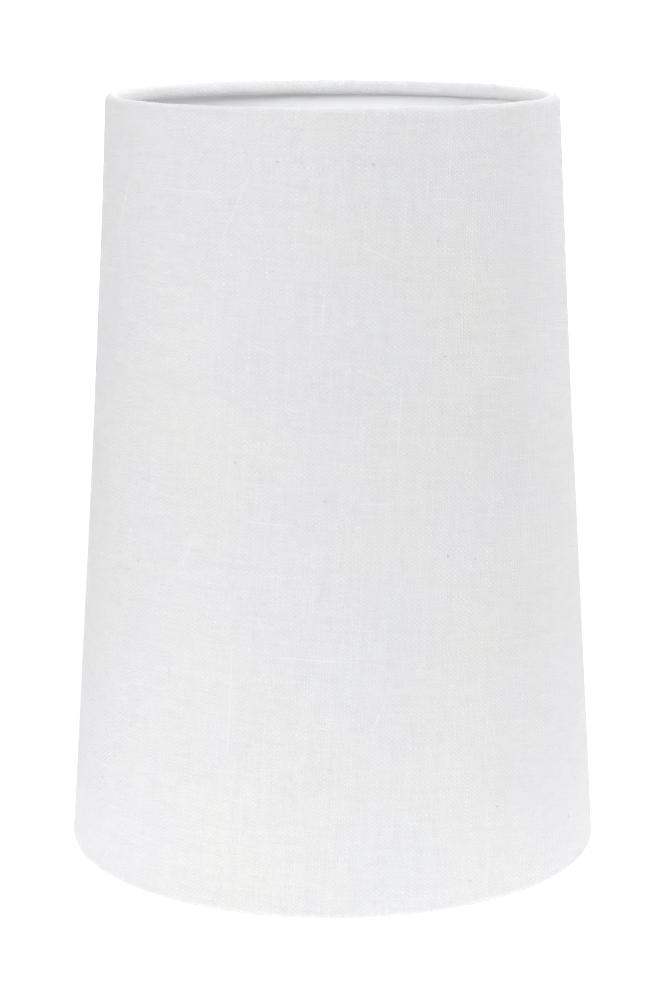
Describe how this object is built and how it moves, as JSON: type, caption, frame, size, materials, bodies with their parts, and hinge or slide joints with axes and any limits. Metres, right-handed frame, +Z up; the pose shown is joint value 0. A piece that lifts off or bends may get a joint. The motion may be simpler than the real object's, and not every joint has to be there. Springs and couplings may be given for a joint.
{
  "type": "lamp shade",
  "caption": "Tapered linen lamp shade with rolled hems, white liner and wire rings, on a tilting fitter with a reducer ring for a small lamp holder.",
  "frame": {"origin": "centre of the circle that the shade stands on, at the foot of its bottom hem", "axes": "+Z up through the top opening, -Y the front, +X the right as seen from the front; the lap seam is at the back right"},
  "size_m": [0.2, 0.1999, 0.282],
  "materials": {
    "linen": "plain-woven natural off-white linen, slubby, matt",
    "liner": "smooth white styrene sheet, satin, lets light through",
    "tape": "translucent adhesive tape",
    "coated_steel": "white powder coat, semi-gloss",
    "rivet_steel": "bright zinc plate",
    "fibre": "brown vulcanised fibre, matt",
    "plastic": "white moulded plastic, satin"
  },
  "bodies": {
    "shade": {"linen_cover": "linen", "liner_panel": "liner", "seam_tape": "tape", "top_ring": "coated_steel", "bottom_ring": "coated_steel", "pivot_bracket_left": "coated_steel", "pivot_bracket_right": "coated_steel", "pivot_rivet_left": "rivet_steel", "pivot_rivet_right": "rivet_steel", "pivot_washer_left": "fibre", "pivot_washer_right": "fibre"},
    "gimbal": {"gimbal_plate_left": "coated_steel", "gimbal_plate_right": "coated_steel", "gimbal_wire_front": "coated_steel", "gimbal_wire_back": "coated_steel", "fitter_ring": "coated_steel"},
    "reducer": {"reducer_ring": "plastic"}
  },
  "joints": [
    {"name": "gimbal_tilt", "type": "hinge", "parent": "shade", "child": "gimbal", "pos_m": [0, 0, 0.014], "axis": [1, 0, 0], "range_deg": [-35, 35]},
    {"name": "reducer_slide", "type": "slide", "parent": "gimbal", "child": "reducer", "axis": [0, 0, -1], "range_m": [0, 0.03]}
  ]
}
